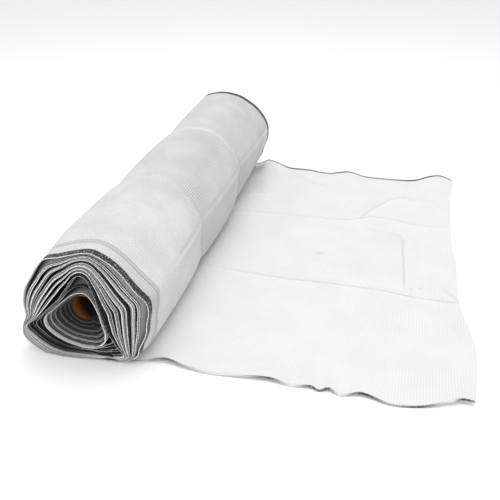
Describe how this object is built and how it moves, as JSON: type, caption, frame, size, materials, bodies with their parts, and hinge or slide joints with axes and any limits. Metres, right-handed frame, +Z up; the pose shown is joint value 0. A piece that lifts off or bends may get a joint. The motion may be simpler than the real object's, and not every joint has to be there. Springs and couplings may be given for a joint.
{
  "type": "roll of scaffold debris netting",
  "caption": "Soft roll of white debris netting on a cardboard tube, drawn in at two places, with its last length laid out on the floor.",
  "frame": {"origin": "on the floor under the roll, half way along it", "axes": "+Z up, +Y along the roll from its near end to its far end, +X towards the loose end"},
  "size_m": [0.8334, 1.0432, 0.2305],
  "materials": {
    "netting": "white knitted plastic net with a fine grid, a stitched hem band and a dark selvage thread",
    "cardboard_tube": "spiral wound brown kraft board, matte"
  },
  "bodies": {
    "root": {"core": "cardboard_tube", "roll": "netting", "loose_end": "netting"}
  },
  "joints": []
}
